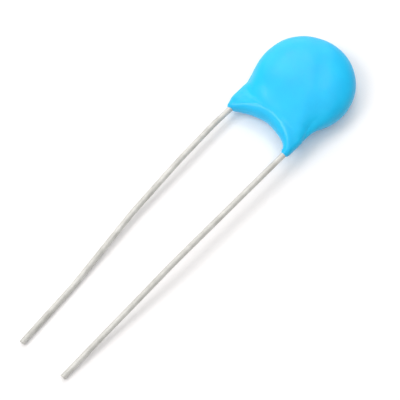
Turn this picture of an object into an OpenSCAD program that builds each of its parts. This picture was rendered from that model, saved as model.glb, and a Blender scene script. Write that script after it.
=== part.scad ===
// Ceramic disc capacitor: a soldered ceramic disc in a dipped coating, with two wire leads.
// It lies on its back face. +Z is up, the leads run towards -Y, and the origin is on the
// surface it lies on, under the middle of the disc. All sizes are in millimetres.

/* [Ceramic disc] */
// Diameter of the bare ceramic disc
ceramic_d = 8.4; // [6:0.1:10]
// Thickness of the bare ceramic disc
ceramic_t = 1; // [0.6:0.1:2]

/* [Electrodes] */
// Bare ring of ceramic outside each electrode
electrode_margin = 0.4; // [0.2:0.05:0.8]
// Thickness of the silver film on each face
electrode_t = 0.04; // [0.02:0.01:0.06]

/* [Leads] */
// Diameter of the lead wire
wire_d = 0.6; // [0.5:0.05:0.8]
// Spacing of the leads where they leave the coating
lead_pitch = 7.5; // [6.5:0.1:8.5]
// Spacing of the two cut ends
tip_pitch = 5.45; // [4:0.05:10]
// Length of the front lead past its turn, along Y
lead_length = 33.8; // [15:0.1:40]
// How far each inner end passes the middle of the disc, along X
inner_cross = 0.6; // [0:0.1:1.2]
// How far each inner end lies beyond the middle of the disc, along Y
inner_reach = 1.6; // [0.8:0.1:2]
// Room between the ceramic's rim and the wire where a lead starts to step down
rim_gap = 0.15; // [0.1:0.05:0.3]
// How far past the ceramic's rim the front lead turns to run along Y
front_turn = 1.2; // [0.9:0.05:2]
// How far past the ceramic's rim the back lead turns to run along Y
back_turn = 0.15; // [0.1:0.05:2]
// Height of each lead above or below mid thickness where it leaves the coating
exit_offset = 0.43; // [0.3:0.01:0.6]
// Radius of the tight bends inside the coating
bend_r = 0.9; // [0.7:0.1:1.2]
// Radius of the gentle bends outside the coating
sweep_r = 24; // [10:1:30]

/* [Solder] */
// Film of solder between each lead and its electrode
solder_film = 0.05; // [0.03:0.01:0.1]
// Width of the fillet on each side of the wire, at its foot
solder_foot = 0.55; // [0.3:0.05:0.8]
// Wall of solder beside the wire at the top of the fillet
solder_lip = 0.06; // [0.04:0.01:0.12]
// Part of the wire's height that the fillet climbs
solder_climb = 0.75; // [0.6:0.05:0.9]
// Room between the end of the solder and the electrode's edge
solder_edge = 0.3; // [0.1:0.05:0.6]

/* [Coating] */
// Thickness of the coating over each lead on the faces
face_wall = 0.55; // [0.4:0.05:0.9]
// Thickness of the coating at the rim of the ceramic
edge_wall = 1.05; // [0.7:0.05:1.5]
// How flat the faces stay before they curve down to the rim
flatness = 4; // [2.4:0.1:5]
// Least thickness over each lead where it passes the ceramic's rim
shoulder_wall = 0.05; // [0.02:0.01:0.2]
// Radius of the shoulder that carries the coating over each lead there
shoulder_r = 0.95; // [0.7:0.05:1.1]
// Half width of the gusset that fills the corner between the rim and each lead
gusset_r = 1.65; // [1.2:0.05:2]
// Thickness round the front lead where it turns
front_wall = 0.13; // [0.1:0.01:0.4]
// Thickness round the back lead where it turns
back_wall = 0.3; // [0.1:0.01:0.5]
// How far the coating runs down the front lead, past its turn
front_run = 1.75; // [1:0.05:3]
// How far the coating runs down the back lead, past its turn
back_run = 1.35; // [1:0.05:3]
// Thickness left on the front lead where the run ends
front_end_wall = 0.08; // [0.07:0.01:0.3]
// Thickness left on the back lead where the run ends
back_end_wall = 0.3; // [0.07:0.01:0.4]
// How far the web's edge lies past the ceramic's rim, midway between the leads
web_reach = 1.4; // [1:0.05:1.6]
// How much further the web reaches at each lead than midway
web_sag = 1.35; // [0.6:0.05:1.8]
// How much thicker the web is midway than at the leads, on each side
web_bulge = 0.6; // [0.3:0.05:0.8]
// Width of the web's raised lip, midway between the leads
web_lip = 0.5; // [0.3:0.05:0.9]
// How much lower the web is behind its lip, on each side
web_fade = 0.6; // [0.2:0.05:0.8]
// Width over which the coating blends from one form into the next
blend = 0.36; // [0.24:0.01:0.42]

/* [Hidden] */

$fn = 48;

// Heights of the stack, from the surface up
wire_r = wire_d / 2;
lead_z = ceramic_t / 2 + electrode_t + solder_film + wire_r;
mid_z = lead_z + wire_r + face_wall;

// Plan sizes, from the middle of the disc
ceramic_r = ceramic_d / 2;
electrode_r = ceramic_r - electrode_margin;
coat_r = ceramic_r + edge_wall;
tip_y = -ceramic_r - front_turn - lead_length;

// Places on the free front lead: a share of its length, bow outward and fall from its exit
front_sweep = [0.53, 0.02, 0.2];

// The same for the back lead, which then lands on the surface and lies on it to its tip
back_sweeps = [[0.14, 0.4, 0], [0.29, 0.52, 0.04], [0.5, 0.54, 0.47]];
back_landing = [0.78, 0.05];

function unit(v) = v / norm(v);
function mix(a, b, share) = a + (b - a) * share;
function clamp(value, low, high) = min(max(value, low), high);

// In plan: the inner end of the lead at side -1 or 1, and the corner where it turns to -Y
function inner_end(side) = [-side * inner_cross, inner_reach];
function corner(side) =
    [side * lead_pitch / 2, -ceramic_r - (side > 0 ? front_turn : back_turn)];

// In plan: the way of a buried lead, and its length up to a circle round the disc's middle
function buried_way(side) = unit(corner(side) - inner_end(side));
function run_to_circle(side, r) =
    let (
        start = inner_end(side),
        half = start * buried_way(side)
    )
    sqrt(half * half - start * start + r * r) - half;

// A point on a free lead at a share of its length, bowed outward, at height z
function on_lead(side, share, bow, z) = [
    side * ((lead_pitch + (tip_pitch - lead_pitch) * share) / 2 + bow),
    mix(corner(side).y, tip_y, share),
    z
];

// The buried stretches: along a face to past the ceramic's rim, then slanting to the corner
function buried_route(side) =
    let (rim = inner_end(side)
             + buried_way(side) * run_to_circle(side, ceramic_r + wire_r + rim_gap))
    [
        [inner_end(side).x, inner_end(side).y, mid_z + side * lead_z],
        [rim.x, rim.y, mid_z + side * lead_z],
        [corner(side).x, corner(side).y, mid_z + side * exit_offset]
    ];

// The front lead stays high to half its length and then slopes down to its tip
front_route = concat(buried_route(1), [
    on_lead(1, front_sweep[0], front_sweep[1], mid_z + exit_offset - front_sweep[2]),
    on_lead(1, 1, 0, wire_r)
]);

// The back lead bows outward and sinks slowly
back_route = concat(
    buried_route(-1),
    [for (s = back_sweeps) on_lead(-1, s[0], s[1], mid_z - exit_offset - s[2])],
    [
        on_lead(-1, back_landing[0], back_landing[1], wire_r),
        on_lead(-1, 1, 0, wire_r)
    ]
);

front_bends = [bend_r, bend_r, sweep_r];
back_bends = [bend_r, bend_r, sweep_r, sweep_r, sweep_r, sweep_r];

// Angle of the turn from a through b to c
function turn(a, b, c) = atan2(norm(cross(b - a, c - b)), (b - a) * (c - b));

// Distance from the corner b to where a bend of radius r starts
function setback(a, b, c, r) = r * tan(turn(a, b, c) / 2);

// A bend is drawn this much fatter than the straight wire, so that each straight run
// ends inside it, this far past its mouth
bend_swell = 0.002;
bend_lap = 0.02;

// Straight wire from a to b
module straight(a, b) {
    along = b - a;
    translate(a)
        rotate([0, atan2(norm([along.x, along.y]), along.z), atan2(along.y, along.x)])
            cylinder(h = norm(along), r = wire_r);
}

// Bent wire of radius r round the corner b
module elbow(a, b, c, r) {
    way_in = unit(b - a);
    way_out = unit(c - b);
    inward = unit(way_out - way_in * (way_in * way_out));
    start = b - way_in * setback(a, b, c, r);
    centre = start + inward * r;
    side = cross(-inward, way_in);
    multmatrix([
        [-inward.x, way_in.x, side.x, centre.x],
        [-inward.y, way_in.y, side.y, centre.y],
        [-inward.z, way_in.z, side.z, centre.z]
    ])
        rotate_extrude(angle = turn(a, b, c))
            translate([r, 0])
                circle(r = wire_r + bend_swell);
}

// A wire along a route of corners, with one bend radius for each inner corner
module wire(route, bends) {
    last = len(route) - 1;
    cut = [for (i = [0:last])
        i == 0 || i == last
            ? 0
            : setback(route[i - 1], route[i], route[i + 1], bends[i - 1]) - bend_lap];
    for (i = [0:last - 1]) {
        way = unit(route[i + 1] - route[i]);
        straight(route[i] + way * cut[i], route[i + 1] - way * cut[i + 1]);
    }
    for (i = [1:last - 1])
        elbow(route[i - 1], route[i], route[i + 1], bends[i - 1]);
}

module front_lead() {
    color("silver")
        wire(front_route, front_bends);
}

module back_lead() {
    color("silver")
        wire(back_route, back_bends);
}

module ceramic_disc() {
    color("wheat")
        translate([0, 0, mid_z - ceramic_t / 2])
            cylinder(h = ceramic_t, r = ceramic_r);
}

module electrode(bottom_z) {
    color("gainsboro")
        translate([0, 0, bottom_z])
            cylinder(h = electrode_t, r = electrode_r);
}

module front_electrode() {
    electrode(mid_z + ceramic_t / 2);
}

module back_electrode() {
    electrode(mid_z - ceramic_t / 2 - electrode_t);
}

// Outline of the solder across the wire, on the electrode, with hollow flanks
function solder_outline() =
    let (
        top = wire_r + solder_lip,
        foot = top + solder_foot,
        height = solder_film + wire_d * solder_climb
    )
    [for (a = [0:15:90]) [mix(foot, top, sin(a)), height * (1 - cos(a))]];

// Solder along a buried lead, in the lead's own frame with the electrode below it
module solder_bar(length) {
    flank = solder_outline();
    mirrored = [for (i = [len(flank) - 1:-1:0]) [-flank[i].x, flank[i].y]];
    rotate([90, 0, 0])
        linear_extrude(height = length)
            polygon(concat(flank, mirrored));
    for (y = [0, -length])
        translate([0, y, 0])
            rotate_extrude()
                polygon(concat([[0, 0]], flank, [[0, flank[len(flank) - 1].y]]));
}

// Solder on the front face for side 1, or on the back face for side -1, as if uncut
module solder_form(side) {
    way = buried_way(side);
    start = inner_end(side);
    length = run_to_circle(side, electrode_r) - solder_edge - wire_r - solder_foot;
    translate([start.x, start.y, mid_z + side * (ceramic_t / 2 + electrode_t)])
        rotate([0, 90 - side * 90, atan2(way.y, way.x) + 90])
            solder_bar(length);
}

// Solder joint round the lead's wire
module solder(side, route) {
    color("lightgray")
        difference() {
            solder_form(side);
            straight(route[0], route[1]);
        }
}

module front_solder() {
    solder(1, front_route);
}

module back_solder() {
    solder(-1, back_route);
}

// How far p lies outside a rod that tapers from radius ra at a to rb at b
function off_rod(p, a, b, ra, rb) =
    let (
        along = b - a,
        share = clamp((p - a) * along / (along * along), 0, 1)
    )
    norm(p - a - along * share) - mix(ra, rb, share);

// How many times as wide as it is thick the gusset beside each lead is
gusset_flatness = 2.5;
function flattened(p) = [p.x, p.y, p.z * gusset_flatness];

// How far p lies outside the coating round one lead: a wide shoulder that lies deeper than
// the wire up to the rim, narrows to the corner, and goes on down the lead, with a flat
// gusset at the corner's height that widens towards the disc
shoulder_z = lead_z + wire_r + shoulder_wall - shoulder_r;
function off_lead(p, side, route, run, wall, end_wall) =
    let (
        start = [route[0].x, route[0].y, mid_z + side * shoulder_z],
        rim = [route[1].x, route[1].y, mid_z + side * shoulder_z],
        gusset = [route[1].x, route[1].y, route[2].z],
        cover = wire_r + wall,
        stop = route[2] + unit(route[3] - route[2]) * run
    )
    min(
        off_rod(p, start, rim, shoulder_r, shoulder_r),
        off_rod(p, rim, route[2], shoulder_r, cover),
        off_rod(flattened(p), flattened(gusset), flattened(route[2]), gusset_r, cover),
        off_rod(p, route[2], stop, cover, wire_r + end_wall)
    );

// How far p lies outside the coated disc alone, a lens that touches the surface
function off_disc(p) =
    let (r = norm([p.x, p.y]))
    mid_z * (sqrt(pow(r / coat_r, flatness) + pow(p.z / mid_z - 1, 2)) - 1);

// How far p lies outside the web, which is as thick at each side as the coating on the lead
// there, is lower behind its lip, and has a round edge that hangs between the leads
web_curve = 1.4;
web_fall = 1.5;
web_fullness = 4;
function off_web(p) =
    let (
        s = p.x / (lead_pitch / 2),
        across = clamp(s, -1, 1),
        share = (across + 1) / 2,
        inward = clamp((p.y + ceramic_r + web_reach - web_lip) / web_fall, 0, 1),
        r = wire_r + mix(back_wall, front_wall, share)
          + web_bulge * (1 - pow(abs(across), web_fullness)) - web_fade * inward,
        edge = -ceramic_r - web_reach - web_sag * pow(abs(s), web_curve) + r,
        outer = lead_pitch / 2 + mix(wire_r + back_wall, 0, share) - r
    )
    norm([
        max(abs(p.x) - outer, 0),
        max(edge - p.y, p.y, 0),
        p.z - mid_z - exit_offset * across
    ]) - r;

// How far p lies outside the coating: the forms above run together like a liquid
function off_coating(p) =
    let (
        parts = [
            off_disc(p),
            off_web(p),
            off_lead(p, 1, front_route, front_run, front_wall, front_end_wall),
            off_lead(p, -1, back_route, back_run, back_wall, back_end_wall)
        ]
    )
    -blend * ln([for (d = parts) exp(-d / blend)] * [1, 1, 1, 1]);

// Ways out from the disc's middle to the rim are straight in plan up to the radius of the
// lead's corner on their side. From there the ways between the leads run along the leads,
// and those outside them fan out over a little more than the half width of the coated lead.
// Angles count from -Y towards +X
fan_reach = 1.25;
fan_power = 1.6;
function side_of(angle) = angle > 0 ? 1 : -1;
function corner_r(side) = norm(corner(side));
function corner_angle(side) = atan2(lead_pitch / 2, -corner(side).y);
function core_angle(side) =
    atan2(wire_r + (side > 0 ? front_wall : back_wall), -corner(side).y);
function heading(angle) =
    let (
        side = side_of(angle),
        fan = fan_reach * core_angle(side),
        past = clamp((abs(angle) - corner_angle(side)) / fan, 0, 1)
    )
    angle * pow(past, fan_power);
function out_way(angle) = [sin(heading(angle)), -cos(heading(angle)), 0];

// Height of a line inside the coating that rises from the back lead to the front lead
function spine_z(p) =
    let (
        across = clamp(p.x / (lead_pitch / 2), -1, 1),
        along = clamp(-2 * p.y / ceramic_r - 1, 0, 1)
    )
    mid_z + exit_offset * across * along;

// Point on the way out at the given angle, at a run from the middle
function way_point(angle, run) =
    let (
        inner = min(run, corner_r(side_of(angle))),
        plan = [sin(angle), -cos(angle), 0] * inner + out_way(angle) * (run - inner)
    )
    [plan.x, plan.y, spine_z(plan)];

// Run from the middle to the rim at the given angle, found by halving
function rim_run(angle, low, high, halvings) =
    let (run = (low + high) / 2)
    halvings == 0 ? run :
    off_coating(way_point(angle, run)) < 0
        ? rim_run(angle, run, high, halvings - 1)
        : rim_run(angle, low, run, halvings - 1);

// Point where the coating's surface is met from inside point p along way, found by halving
function surface_point(p, way, low, high, halvings) =
    let (run = (low + high) / 2)
    halvings == 0 ? p + way * run :
    off_coating(p + way * run) < 0
        ? surface_point(p, way, run, high, halvings - 1)
        : surface_point(p, way, low, run, halvings - 1);

// The same, with the coating flattened where it rests on the surface
function surface_from(p, way) =
    let (found = surface_point(p, way, 0, coat_r / 2, 12))
    [found.x, found.y, max(found.z, 0)];

// How far inside the rim the rounded edge is taken from: at a lead's end, from its core
edge_depth = 1.1;
function nose(end) =
    let (
        core = wire_r + (end.x > 0 ? front_end_wall : back_end_wall),
        beside = clamp(abs(abs(end.x) - lead_pitch / 2) / wire_d, 0, 1),
        along = clamp((-end.y - ceramic_r) / wire_d, 0, 1)
    )
    mix(edge_depth, mix(core, edge_depth, beside), along);

// The faces are taken on circles of these radii, as shares of the ceramic's, and from there
// at these shares of what is left up to the rounded edge
face_circles = [0.15, 0.32, 0.48, 0.63];
face_shares = [0.22, 0.42, 0.62, 0.81, 1];
// Angles up and down at which the rounded edge is taken
edge_angles = [67.5:-22.5:-67.5];

// Points of the coating's surface from the top's middle round the rim to the bottom's middle
function section(angle) =
    let (
        rim = rim_run(angle, coat_r / 2, 3 * coat_r, 14),
        depth = nose(way_point(angle, rim)),
        circles = face_circles * ceramic_r,
        beyond = [for (share = face_shares) mix(circles[len(circles) - 1], rim - depth, share)],
        face = [for (run = concat(circles, beyond)) way_point(angle, run)],
        base = face[len(face) - 1],
        out = out_way(angle)
    )
    concat(
        [for (p = face) surface_from(p, [0, 0, 1])],
        [for (a = edge_angles) surface_from(base, out * cos(a) + [0, 0, sin(a)])],
        [for (i = [len(face) - 1:-1:0]) surface_from(face[i], [0, 0, -1])]
    );

// Angles of the sections: closest over each coated lead, close on the flank outside it,
// and wider elsewhere
flank = 14;
function evenly(from, to, count) = [for (i = [0:count - 1]) mix(from, to, i / count)];
front_low = corner_angle(1) - core_angle(1);
front_high = corner_angle(1) + core_angle(1);
back_low = -corner_angle(-1) - core_angle(-1);
back_high = -corner_angle(-1) + core_angle(-1);
section_angles = concat(
    evenly(back_low, back_high, 16),
    evenly(back_high, front_low, 24),
    evenly(front_low, front_high, 16),
    evenly(front_high, front_high + flank, 10),
    evenly(front_high + flank, 360 + back_low - flank, 58),
    evenly(360 + back_low - flank, 360 + back_low, 10)
);

// The coating as if it were solid
module coating_block() {
    sections = [for (a = section_angles) section(a > 180 ? a - 360 : a)];
    count = len(sections);
    size = len(sections[0]);
    top = surface_from([0, 0, mid_z], [0, 0, 1]);
    bottom = surface_from([0, 0, mid_z], [0, 0, -1]);
    top_index = count * size;
    function index(ring, i) = (ring % count) * size + i;
    function apart(ring, i, next) = norm(sections[ring][i] - sections[(ring + 1) % count][next]);
    sides = [for (ring = [0:count - 1], i = [0:size - 2]) each
        apart(ring, i + 1, i) < apart(ring, i, i + 1)
            ? [
                [index(ring, i), index(ring + 1, i), index(ring, i + 1)],
                [index(ring + 1, i), index(ring + 1, i + 1), index(ring, i + 1)]
            ]
            : [
                [index(ring, i), index(ring + 1, i + 1), index(ring, i + 1)],
                [index(ring, i), index(ring + 1, i), index(ring + 1, i + 1)]
            ]
    ];
    tops = [for (ring = [0:count - 1]) [top_index, index(ring + 1, 0), index(ring, 0)]];
    bottoms = [for (ring = [0:count - 1])
        [top_index + 1, index(ring, size - 1), index(ring + 1, size - 1)]];
    polyhedron(concat([for (s = sections) each s], [top, bottom]), concat(sides, tops, bottoms));
}

module epoxy_coating() {
    color("deepskyblue")
        difference() {
            coating_block();
            ceramic_disc();
            front_electrode();
            back_electrode();
            solder_form(1);
            solder_form(-1);
            front_lead();
            back_lead();
        }
}

epoxy_coating();
ceramic_disc();
front_electrode();
back_electrode();
front_lead();
back_lead();
front_solder();
back_solder();
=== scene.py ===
import math

import bpy
import numpy as np
from mathutils import Matrix, Vector


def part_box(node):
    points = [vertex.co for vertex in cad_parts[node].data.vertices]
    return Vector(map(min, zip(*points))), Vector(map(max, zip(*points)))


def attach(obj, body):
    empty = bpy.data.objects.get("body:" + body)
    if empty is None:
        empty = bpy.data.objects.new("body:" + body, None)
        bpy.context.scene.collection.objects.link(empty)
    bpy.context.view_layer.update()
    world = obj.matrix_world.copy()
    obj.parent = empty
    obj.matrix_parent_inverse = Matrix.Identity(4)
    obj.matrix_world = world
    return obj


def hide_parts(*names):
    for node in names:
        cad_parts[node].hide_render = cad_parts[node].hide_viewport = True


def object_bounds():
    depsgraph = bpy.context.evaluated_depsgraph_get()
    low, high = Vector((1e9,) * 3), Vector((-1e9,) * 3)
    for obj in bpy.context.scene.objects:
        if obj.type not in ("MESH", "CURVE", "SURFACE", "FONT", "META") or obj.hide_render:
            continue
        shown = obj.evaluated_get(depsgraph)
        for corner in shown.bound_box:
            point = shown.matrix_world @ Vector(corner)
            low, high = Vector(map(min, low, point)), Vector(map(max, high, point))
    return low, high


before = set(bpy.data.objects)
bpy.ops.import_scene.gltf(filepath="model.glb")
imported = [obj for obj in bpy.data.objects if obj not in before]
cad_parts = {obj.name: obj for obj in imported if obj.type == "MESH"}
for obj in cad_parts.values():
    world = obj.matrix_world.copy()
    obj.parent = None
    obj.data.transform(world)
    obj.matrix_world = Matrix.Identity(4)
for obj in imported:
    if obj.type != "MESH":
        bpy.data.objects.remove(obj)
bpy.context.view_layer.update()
MM = 0.001
UP = np.array([0.0, 0.0, 1.0])

# ---------------------------------------------------------------- sizes, in millimetres
# These repeat the part's own sizes, so the finer surfaces made here have its exact form
CERAMIC_D, CERAMIC_T, ELECTRODE_T = 8.4, 1.0, 0.04
WIRE_D, LEAD_PITCH, TIP_PITCH, LEAD_LENGTH = 0.6, 7.5, 5.45, 33.8
INNER_CROSS, INNER_REACH, RIM_GAP = 0.6, 1.6, 0.15
FRONT_TURN, BACK_TURN, EXIT_OFFSET = 1.2, 0.15, 0.43
BEND_R, SWEEP_R = 0.9, 24.0
SOLDER_FILM = 0.05
FACE_WALL, EDGE_WALL, FLATNESS = 0.55, 1.05, 4.0
SHOULDER_WALL, SHOULDER_R = 0.05, 0.95
GUSSET_R, GUSSET_FLATNESS = 1.65, 2.5
FRONT_WALL, BACK_WALL = 0.13, 0.3
FRONT_RUN, BACK_RUN = 1.75, 1.35
FRONT_END_WALL, BACK_END_WALL = 0.08, 0.3
WEB_REACH, WEB_SAG, WEB_BULGE = 1.4, 1.35, 0.6
WEB_LIP, WEB_FADE, WEB_FALL = 0.5, 0.6, 1.5
WEB_CURVE, WEB_FULLNESS = 1.4, 4
BLEND = 0.36

# Where each lead bends: its share of the way to the tip, its bow outward and how far it has
# fallen there. At its landing the back lead has only the first two, as it lies on the surface
FRONT_SWEEP = (0.53, 0.02, 0.2)
BACK_SWEEPS = ((0.14, 0.4, 0.0), (0.29, 0.52, 0.04), (0.5, 0.54, 0.47))
BACK_LANDING = (0.78, 0.05)

# How far the set coating sags inward at most, never outward. Its slow unevenness is the sum of
# these waves: the height of each, its radians per millimetre in x, y and z, and its phase
RIPPLE = 0.06
WAVES = (
    (1.0, (0.83, 0.55, 0.0), 0.4),
    (0.7, (-0.62, 1.31, 1.1), 1.9),
    (0.5, (2.1, 1.7, -0.9), 0.2),
)

# The coating's mesh: its cell, the room left round the coating, the step that a slope is
# measured over, and how often the vertices move along it
CELL = 0.075
CELL_MARGIN, SLOPE_STEP, SETTLE_ROUNDS = 0.2, 0.002, 4

# The wires' mesh: the sides round a wire, and the length of a step in a bend
WIRE_SIDES, CHORD = 28, 0.18
# The tin coat is a few thousandths uneven: two waves along the wire, and a slight oval across it
# that turns slowly. The waves and the turning are in radians per millimetre
TIN_UNEVEN, TIN_WAVES = 0.003, (1.7, 0.63)
OVAL, OVAL_TURNING = 0.4, 0.4
# A cut end is this share of the wire's radius, with a narrow rounded rim and slight ridges. Each
# of its rings has its share of that radius, and how far it stands past the end
CUT_SHARE, CUT_RIM, CUT_RIDGE = 0.99, 0.03, 0.01
CUT_RINGS = ((0.97, -0.012), (0.9, 0.0), (0.55, -0.012), (0.2, -0.004))

wire_r = WIRE_D / 2
lead_z = CERAMIC_T / 2 + ELECTRODE_T + SOLDER_FILM + wire_r
mid_z = lead_z + wire_r + FACE_WALL
ceramic_r = CERAMIC_D / 2
coat_r = ceramic_r + EDGE_WALL
tip_y = -ceramic_r - FRONT_TURN - LEAD_LENGTH


def unit(v):
    return v / np.linalg.norm(v)


def mix(a, b, share):
    return a + (b - a) * share


# ---------------------------------------------------------------- the leads' routes
def corner(side):
    return np.array([side * LEAD_PITCH / 2, -ceramic_r - (FRONT_TURN if side > 0 else BACK_TURN)])


def buried_route(side):
    start = np.array([-side * INNER_CROSS, INNER_REACH])
    way = unit(corner(side) - start)
    half = start @ way
    reach = ceramic_r + wire_r + RIM_GAP
    rim = start + way * (math.sqrt(half * half - start @ start + reach * reach) - half)
    return [
        np.array([*start, mid_z + side * lead_z]),
        np.array([*rim, mid_z + side * lead_z]),
        np.array([*corner(side), mid_z + side * EXIT_OFFSET]),
    ]


def on_lead(side, share, bow, z):
    return np.array([
        side * (mix(LEAD_PITCH, TIP_PITCH, share) / 2 + bow),
        mix(corner(side)[1], tip_y, share),
        z,
    ])


front_route = buried_route(1) + [
    on_lead(1, FRONT_SWEEP[0], FRONT_SWEEP[1], mid_z + EXIT_OFFSET - FRONT_SWEEP[2]),
    on_lead(1, 1, 0, wire_r),
]
back_route = (
    buried_route(-1)
    + [on_lead(-1, share, bow, mid_z - EXIT_OFFSET - fall) for share, bow, fall in BACK_SWEEPS]
    + [on_lead(-1, BACK_LANDING[0], BACK_LANDING[1], wire_r), on_lead(-1, 1, 0, wire_r)]
)


# ---------------------------------------------------------------- the coating's form
# Each of these says how far a point is from a form, with a minus sign inside it
def off_rod(p, a, b, ra, rb):
    along = b - a
    share = np.clip((p - a) @ along / (along @ along), 0, 1)
    return np.linalg.norm(p - a - share[..., None] * along, axis=-1) - mix(ra, rb, share)


def off_lead(p, side, route, run, wall, end_wall):
    shoulder_z = mid_z + side * (lead_z + wire_r + SHOULDER_WALL - SHOULDER_R)
    start = np.array([*route[0][:2], shoulder_z])
    rim = np.array([*route[1][:2], shoulder_z])
    stop = route[2] + unit(route[3] - route[2]) * run
    cover = wire_r + wall
    flattened = np.array([1, 1, GUSSET_FLATNESS])
    gusset = np.array([*route[1][:2], route[2][2]])
    return np.minimum.reduce([
        off_rod(p, start, rim, SHOULDER_R, SHOULDER_R),
        off_rod(p, rim, route[2], SHOULDER_R, cover),
        off_rod(p * flattened, gusset * flattened, route[2] * flattened, GUSSET_R, cover),
        off_rod(p, route[2], stop, cover, wire_r + end_wall),
    ])


def off_disc(p):
    r = np.hypot(p[..., 0], p[..., 1])
    return mid_z * (np.sqrt((r / coat_r) ** FLATNESS + (p[..., 2] / mid_z - 1) ** 2) - 1)


def off_web(p):
    x, y, z = p[..., 0], p[..., 1], p[..., 2]
    s = x / (LEAD_PITCH / 2)
    across = np.clip(s, -1, 1)
    share = (across + 1) / 2
    inward = np.clip((y + ceramic_r + WEB_REACH - WEB_LIP) / WEB_FALL, 0, 1)
    r = (wire_r + mix(BACK_WALL, FRONT_WALL, share)
         + WEB_BULGE * (1 - np.abs(across) ** WEB_FULLNESS) - WEB_FADE * inward)
    edge = -ceramic_r - WEB_REACH - WEB_SAG * np.abs(s) ** WEB_CURVE + r
    outer = LEAD_PITCH / 2 + mix(wire_r + BACK_WALL, 0, share) - r
    return np.sqrt(
        np.maximum(np.abs(x) - outer, 0) ** 2
        + np.maximum.reduce([edge - y, y, np.zeros_like(y)]) ** 2
        + (z - mid_z - EXIT_OFFSET * across) ** 2
    ) - r


def off_coating(p):
    parts = (
        off_disc(p),
        off_web(p),
        off_lead(p, 1, front_route, FRONT_RUN, FRONT_WALL, FRONT_END_WALL),
        off_lead(p, -1, back_route, BACK_RUN, BACK_WALL, BACK_END_WALL),
    )
    return -BLEND * np.log(sum(np.exp(-d / BLEND) for d in parts))


def sag(p):
    deepest = sum(height for height, _, _ in WAVES)
    slow = sum(height * np.sin(p @ np.array(turns) + start) for height, turns, start in WAVES)
    return RIPPLE * (deepest + slow) / (2 * deepest)


def coat_field(p):
    return off_coating(p) + sag(p)


# ---------------------------------------------------------------- mesh of a field
def field_mesh(field, low, high, step):
    """Vertices and quads of the surface where field is 0, one vertex in each crossed cell."""
    axes = [np.arange(a, b + step, step) for a, b in zip(low, high)]
    shape = tuple(len(a) for a in axes)
    value = np.empty(shape)
    for i, x in enumerate(axes[0]):
        yy, zz = np.meshgrid(axes[1], axes[2], indexing="ij")
        value[i] = field(np.stack([np.full_like(yy, x), yy, zz], axis=-1))
    inside = value < 0
    corners = [(i, j, k) for i in (0, 1) for j in (0, 1) for k in (0, 1)]
    cut = tuple(slice(0, n - 1) for n in shape)

    def shifted(array, c):
        return array[tuple(slice(o, o + n - 1) for o, n in zip(c, shape))]

    total = sum(shifted(inside, c).astype(np.int8) for c in corners)
    crossed = (total > 0) & (total < 8)
    index = np.full(shape, -1, dtype=np.int64)
    index[cut][crossed] = np.arange(crossed.sum())
    cells = np.argwhere(crossed)

    # A cell's vertex is the mean of the places where the surface crosses the cell's edges
    points = np.zeros((len(cells), 3))
    count = np.zeros(len(cells))
    for a in corners:
        for axis in range(3):
            if a[axis]:
                continue
            b = tuple(1 if n == axis else a[n] for n in range(3))
            va = value[tuple((cells + a).T)]
            vb = value[tuple((cells + b).T)]
            hit = (va < 0) != (vb < 0)
            t = np.where(hit, va / np.where(hit, va - vb, 1), 0)
            at = np.array(a, float)[None, :].repeat(len(cells), 0)
            at[:, axis] += t
            points += at * hit[:, None]
            count += hit
    verts = (cells + points / count[:, None]) * step + np.array([a[0] for a in axes])

    # A quad joins the four cells round each grid edge that crosses the surface
    quads = []
    for axis, (u, v) in enumerate(((1, 2), (2, 0), (0, 1))):
        low_side = inside[tuple(slice(0, -1) if n == axis else slice(None) for n in range(3))]
        high_side = inside[tuple(slice(1, None) if n == axis else slice(None) for n in range(3))]
        for sign in (True, False):
            edges = np.argwhere((low_side & ~high_side) if sign else (~low_side & high_side))
            edges = edges[(edges[:, u] > 0) & (edges[:, v] > 0)]
            around = []
            for du, dv in ((1, 1), (0, 1), (0, 0), (1, 0)):
                c = edges.copy()
                c[:, u] -= du
                c[:, v] -= dv
                around.append(index[tuple(c.T)])
            around = np.stack(around, axis=1)
            quads.append(around if sign else around[:, ::-1])
    return verts, np.concatenate(quads)


def settle(field, verts):
    """Moves vertices along the field's slope until they lie where it is 0."""
    for _ in range(SETTLE_ROUNDS):
        slope = np.stack([
            (field(verts + SLOPE_STEP * e) - field(verts - SLOPE_STEP * e)) / (2 * SLOPE_STEP)
            for e in np.eye(3)
        ], axis=-1)
        verts = verts - slope * (field(verts) / (slope ** 2).sum(-1))[:, None]
    return verts


def in_scene(name, data):
    thing = bpy.data.objects.new(name, data)
    bpy.context.scene.collection.objects.link(thing)
    return thing


def new_piece(name, verts, faces):
    mesh = bpy.data.meshes.new(name)
    mesh.from_pydata((verts * MM).tolist(), [], faces)
    mesh.validate()
    mesh.polygons.foreach_set("use_smooth", [True] * len(mesh.polygons))
    mesh.update()
    return in_scene(name, mesh)


coat_low, coat_high = (np.array(c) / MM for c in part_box("epoxy_coating"))
coat_verts, coat_quads = field_mesh(
    coat_field, coat_low - CELL_MARGIN, coat_high + CELL_MARGIN, CELL
)
coat_verts = np.clip(settle(coat_field, coat_verts), coat_low, coat_high)
coat = new_piece("coating_skin", coat_verts, coat_quads.tolist())


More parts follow.
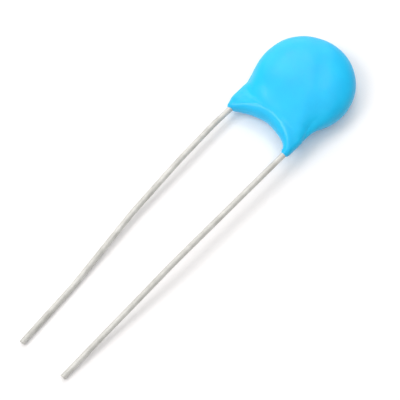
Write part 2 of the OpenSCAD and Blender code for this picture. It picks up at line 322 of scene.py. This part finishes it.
# ---------------------------------------------------------------- the leads
def rounded_route(route, bends):
    """Points along a route of corners with each inner corner rounded, close together in bends."""
    points = [route[0]]
    for a, b, c, bend in zip(route, route[1:], route[2:], bends):
        way_in, way_out = unit(b - a), unit(c - b)
        turn = math.atan2(np.linalg.norm(np.cross(way_in, way_out)), way_in @ way_out)
        start = b - way_in * (bend * math.tan(turn / 2))
        inward = unit(way_out - way_in * (way_in @ way_out))
        centre = start + inward * bend
        steps = max(4, round(bend * turn / CHORD))
        for n in range(steps + 1):
            t = turn * n / steps
            points.append(centre - inward * bend * math.cos(t) + way_in * bend * math.sin(t))
    points.append(route[-1])
    filled = [points[0]]
    for p in points[1:]:
        base = filled[-1]
        n = max(1, round(np.linalg.norm(p - base) / (2 * CHORD)))
        filled += [mix(base, p, k / n) for k in range(1, n + 1)]
    return np.array(filled)


def sleeve(first, second):
    """Faces between two rings of vertices, which start at these numbers."""
    sides = [(k, (k + 1) % WIRE_SIDES) for k in range(WIRE_SIDES)]
    return [[first + k, first + m, second + m, second + k] for k, m in sides]


def square_to(way):
    """Two directions at right angles to a wire that runs this way, and to each other."""
    side = unit(np.cross(way, UP))
    return side, np.cross(side, way)


def wire_mesh(name, route, bends, seed):
    """A drawn wire along a route, with a cut end. Its radius never passes the wire's."""
    path = rounded_route(route, bends)
    ways = np.gradient(path, axis=0)
    ways /= np.linalg.norm(ways, axis=1)[:, None]
    run = np.concatenate([[0], np.cumsum(np.linalg.norm(np.diff(path, axis=0), axis=1))])
    phase = np.random.default_rng(seed).uniform(0, math.tau, 4)
    around = [math.tau * k / WIRE_SIDES for k in range(WIRE_SIDES)]
    verts = []
    for p, way, far in zip(path, ways, run):
        side, over = square_to(way)
        waves = [math.sin(far * wave + start) for wave, start in zip(TIN_WAVES, phase)]
        uneven = TIN_UNEVEN * (1 + sum(waves) / len(waves))
        for a in around:
            oval = OVAL * math.sin(2 * a + far * OVAL_TURNING + phase[2])
            r = wire_r - uneven * (1 + oval) / (1 + OVAL)
            verts.append(p + side * math.cos(a) * r + over * math.sin(a) * r)
    faces = []
    for n in range(len(path) - 1):
        faces += sleeve(n * WIRE_SIDES, (n + 1) * WIRE_SIDES)
    # The cut end carries on from the last ring, which is drawn back for the rim
    end, way = path[-1], ways[-1]
    side, over = square_to(way)
    base = len(verts) - WIRE_SIDES
    for k in range(base, len(verts)):
        verts[k] = verts[k] - way * CUT_RIM
    for share, lift in CUT_RINGS:
        first = len(verts)
        for a in around:
            ridge = abs(CUT_RIDGE * math.sin(a + phase[3]) * (1 - share))
            spoke = side * math.cos(a) + over * math.sin(a)
            verts.append(end + way * (lift - ridge) + spoke * wire_r * share * CUT_SHARE)
        faces += sleeve(base, first)
        base = first
    faces.append(list(range(base, base + WIRE_SIDES)))
    faces.append(list(range(WIRE_SIDES))[::-1])
    return new_piece(name, np.array(verts), faces)


front_wire = wire_mesh("front_wire", front_route, [BEND_R, BEND_R, SWEEP_R], seed=3)
back_wire = wire_mesh("back_wire", back_route, [BEND_R, BEND_R] + [SWEEP_R] * 4, seed=8)


# ---------------------------------------------------------------- materials
# Scales of noise are per metre, and the distances of bumps are in metres
def material(name):
    mat = bpy.data.materials.new(name)
    mat.use_nodes = True
    return mat, mat.node_tree, mat.node_tree.nodes["Principled BSDF"]


def plug(tree, shader, sockets):
    """Links each of these sockets to another node's output, or gives it a plain value."""
    for name, value in sockets.items():
        if isinstance(value, bpy.types.NodeSocket):
            tree.links.new(value, shader.inputs[name])
        else:
            shader.inputs[name].default_value = value


def coords(tree, scale=(1, 1, 1)):
    place = tree.nodes.new("ShaderNodeTexCoord")
    mapping = tree.nodes.new("ShaderNodeMapping")
    mapping.inputs["Scale"].default_value = scale
    tree.links.new(place.outputs["Object"], mapping.inputs["Vector"])
    return mapping.outputs["Vector"]


def noise(tree, vector, scale, detail=3.0):
    node = tree.nodes.new("ShaderNodeTexNoise")
    node.inputs["Scale"].default_value = scale
    node.inputs["Detail"].default_value = detail
    tree.links.new(vector, node.inputs["Vector"])
    return node.outputs["Fac"]


def ramp(tree, value, stops):
    node = tree.nodes.new("ShaderNodeValToRGB")
    while len(node.color_ramp.elements) < len(stops):
        node.color_ramp.elements.new(0.5)
    for element, (position, color) in zip(node.color_ramp.elements, stops):
        element.position = position
        element.color = (*color, 1)
    tree.links.new(value, node.inputs["Fac"])
    return node.outputs["Color"]


def spread(tree, value, low, high, out_low, out_high):
    node = tree.nodes.new("ShaderNodeMapRange")
    node.inputs["From Min"].default_value = low
    node.inputs["From Max"].default_value = high
    node.inputs["To Min"].default_value = out_low
    node.inputs["To Max"].default_value = out_high
    tree.links.new(value, node.inputs["Value"])
    return node.outputs["Result"]


def bump(tree, height, distance, strength, under=None):
    node = tree.nodes.new("ShaderNodeBump")
    node.inputs["Distance"].default_value = distance
    node.inputs["Strength"].default_value = strength
    tree.links.new(height, node.inputs["Height"])
    if under is not None:
        tree.links.new(under, node.inputs["Normal"])
    return node.outputs["Normal"]


def epoxy_material():
    mat, tree, shader = material("blue_epoxy")
    at = coords(tree)
    cloud = ramp(tree, noise(tree, at, 420), (
        (0.3, (0.0, 0.53, 0.95)),
        (0.5, (0.001, 0.56, 0.975)),
        (0.72, (0.004, 0.59, 0.99)),
    ))
    orange_peel = bump(tree, noise(tree, at, 2600, 2), 0.00003, 0.25)
    pits = tree.nodes.new("ShaderNodeTexVoronoi")
    pits.inputs["Scale"].default_value = 1500
    tree.links.new(at, pits.inputs["Vector"])
    pit = spread(tree, pits.outputs["Distance"], 0.02, 0.12, 0.0, 1.0)
    plug(tree, shader, {
        "Base Color": cloud,
        "Roughness": spread(tree, noise(tree, at, 900, 4), 0.3, 0.7, 0.38, 0.46),
        "Normal": bump(tree, pit, 0.00001, 0.35, orange_peel),
        "Specular IOR Level": 0.35,
        # The set resin's own thin gloss over the pigmented body
        "Coat Weight": 0.24,
        "Coat Roughness": 0.17,
    })
    return mat


def tin_material():
    mat, tree, shader = material("tinned_wire")
    drawn = noise(tree, coords(tree, (5200, 160, 5200)), 1)
    blotch = noise(tree, coords(tree), 900, 4)
    shade = ramp(tree, blotch, (
        (0.3, (0.49, 0.49, 0.46)),
        (0.55, (0.58, 0.58, 0.55)),
        (0.75, (0.66, 0.66, 0.63)),
    ))
    plug(tree, shader, {
        "Base Color": shade,
        "Roughness": spread(tree, blotch, 0.3, 0.75, 0.66, 0.5),
        "Normal": bump(tree, drawn, 0.000012, 0.5),
        "Metallic": 0.5,
    })
    return mat


def silver_material(name, color, roughness):
    mat, tree, shader = material(name)
    at = coords(tree)
    grain = noise(tree, at, 5200)
    shade = ramp(tree, noise(tree, at, 1300), (
        (0.3, tuple(c * 0.9 for c in color)),
        (0.7, color),
    ))
    plug(tree, shader, {
        "Base Color": shade,
        "Roughness": spread(tree, grain, 0.3, 0.7, roughness - 0.08, roughness + 0.08),
        "Normal": bump(tree, grain, 0.000008, 0.4),
        "Metallic": 1.0,
    })
    return mat


def ceramic_material():
    mat, tree, shader = material("fired_ceramic")
    at = coords(tree)
    shade = ramp(tree, noise(tree, at, 1700, 4), (
        (0.3, (0.48, 0.36, 0.22)),
        (0.7, (0.62, 0.49, 0.33)),
    ))
    plug(tree, shader, {
        "Base Color": shade,
        "Roughness": 0.7,
        "Normal": bump(tree, noise(tree, at, 8000), 0.00001, 0.5),
    })
    return mat


epoxy = epoxy_material()
tin = tin_material()
silver = silver_material("silver_film", (0.80, 0.79, 0.76), 0.45)
solder = silver_material("solder", (0.62, 0.62, 0.61), 0.3)
ceramic = ceramic_material()

coat.data.materials.append(epoxy)
for wire in (front_wire, back_wire):
    wire.data.materials.append(tin)
for node, mat in (
    ("ceramic_disc", ceramic),
    ("front_electrode", silver),
    ("back_electrode", silver),
    ("front_solder", solder),
    ("back_solder", solder),
):
    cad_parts[node].data.materials.clear()
    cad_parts[node].data.materials.append(mat)

for piece, node, slot in (
    (coat, "epoxy_coating", "epoxy"),
    (front_wire, "front_lead", "tinned_wire"),
    (back_wire, "back_lead", "tinned_wire"),
):
    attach(piece, "root")
    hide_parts(node)


# ---------------------------------------------------------------- floor and world, in metres
FLOOR_SIZE, FLOOR_GAP = 1.6, 0.00002
# The floor's own glow in rays that show the background, and the world's strength in all others
FLOOR_GLOW, AMBIENT = 0.1, 0.15


def seen_ray(tree):
    """1 for a ray that shows the background: straight, in a reflection, or through something."""
    path = tree.nodes.new("ShaderNodeLightPath")
    seen = path.outputs["Is Camera Ray"]
    for kind in ("Is Glossy Ray", "Is Transmission Ray"):
        either = tree.nodes.new("ShaderNodeMath")
        either.operation = "MAXIMUM"
        tree.links.new(seen, either.inputs[0])
        tree.links.new(path.outputs[kind], either.inputs[1])
        seen = either.outputs[0]
    return seen


surface_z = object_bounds()[0].z
half = FLOOR_SIZE / 2
floor_mesh = bpy.data.meshes.new("floor")
floor_mesh.from_pydata(
    [(-half, -half, 0), (half, -half, 0), (half, half, 0), (-half, half, 0)], [], [(0, 1, 2, 3)]
)
floor = in_scene("floor", floor_mesh)
floor.location = (0, 0, surface_z - FLOOR_GAP)
paper, paper_tree, paper_shader = material("white_paper")
plug(paper_tree, paper_shader, {
    "Base Color": (0.93, 0.92, 0.925, 1),
    "Roughness": 0.9,
    "Specular IOR Level": 0.1,
    "Emission Color": (1, 1, 1, 1),
    "Emission Strength": spread(paper_tree, seen_ray(paper_tree), 0.0, 1.0, 0.0, FLOOR_GLOW),
})
floor_mesh.materials.append(paper)

world = bpy.data.worlds.new("studio")
bpy.context.scene.world = world
world.use_nodes = True
sky_tree = world.node_tree
plug(sky_tree, sky_tree.nodes["Background"], {
    "Color": (1.0, 0.985, 0.985, 1),
    "Strength": spread(sky_tree, seen_ray(sky_tree), 0.0, 1.0, AMBIENT, 1.0),
})

# ---------------------------------------------------------------- camera
# The camera stands at this azimuth and elevation, this far from the disc's middle. There one
# millimetre is PX_PER_MM pixels of the 400 pixel frame, and the disc's middle is at DISC_PX.
# The sensor is in millimetres, and what the camera sees starts and ends in metres
AZIMUTH, ELEVATION, DISTANCE = 41.8, 67.5, 350.0
PX_PER_MM, DISC_PX, FRAME_PX = 9.865, (304.5, 83.75), 400
SENSOR, CLIP_START, CLIP_END = 36, 0.01, 10

az, el = math.radians(AZIMUTH), math.radians(ELEVATION)
right = Vector((math.cos(az), math.sin(az), 0))
ahead = Vector((-math.sin(az) * math.cos(el), math.cos(az) * math.cos(el), -math.sin(el)))
up = right.cross(ahead)
eye = (Vector((0, 0, mid_z)) - ahead * DISTANCE
       - right * ((DISC_PX[0] - FRAME_PX / 2) / PX_PER_MM)
       + up * ((DISC_PX[1] - FRAME_PX / 2) / PX_PER_MM))
camera_data = bpy.data.cameras.new("camera")
camera_data.sensor_width = SENSOR
camera_data.lens = SENSOR * PX_PER_MM * DISTANCE / FRAME_PX
camera_data.clip_start, camera_data.clip_end = CLIP_START, CLIP_END
camera = in_scene("camera", camera_data)
turned = Matrix((right, up, -ahead)).transposed().to_4x4()
camera.matrix_world = Matrix.Translation(eye * MM) @ turned
bpy.context.scene.camera = camera

# ---------------------------------------------------------------- lamps
# The key stands over the back lead on the camera's side, a wide soft box beyond the disc lights
# its far side, and a broad lamp overhead keeps the shadows light. That one stays out of the
# gloss, where two small window lamps show as pale patches on the upper face. Each line below
# has a lamp's name, direction, width, power, and whether gloss shows it
LAMP_DISTANCE = 0.9
KEY_COLOR, LAMP_COLOR = (1.0, 0.985, 0.965), (1.0, 0.99, 0.98)

for name, direction, size, power, shows in (
    ("key", (-0.55, -0.6, 1), 0.42, 2.5, True),
    ("soft_box", (-0.7, 0.6, 0.5), 1.1, 3.5, True),
    ("overhead", (0.0, 0.0, 1), 1.2, 5.0, False),
    ("fill", (-0.15, -1.0, 0.35), 0.9, 1.2, True),
    ("left_window", (-0.57, 0.43, 1), 0.3, 0.4, True),
    ("right_window", (-0.25, 0.44, 1), 0.2, 0.2, True),
):
    light = bpy.data.lights.new(name, "AREA")
    light.shape = "DISK"
    light.size = size
    light.energy = power
    light.color = KEY_COLOR if name == "key" else LAMP_COLOR
    lamp = in_scene(name, light)
    lamp.location = Vector(direction).normalized() * LAMP_DISTANCE
    lamp.rotation_euler = Vector(direction).to_track_quat("Z", "Y").to_euler()
    lamp.visible_glossy = shows

bpy.context.scene.view_settings.view_transform = "Standard"
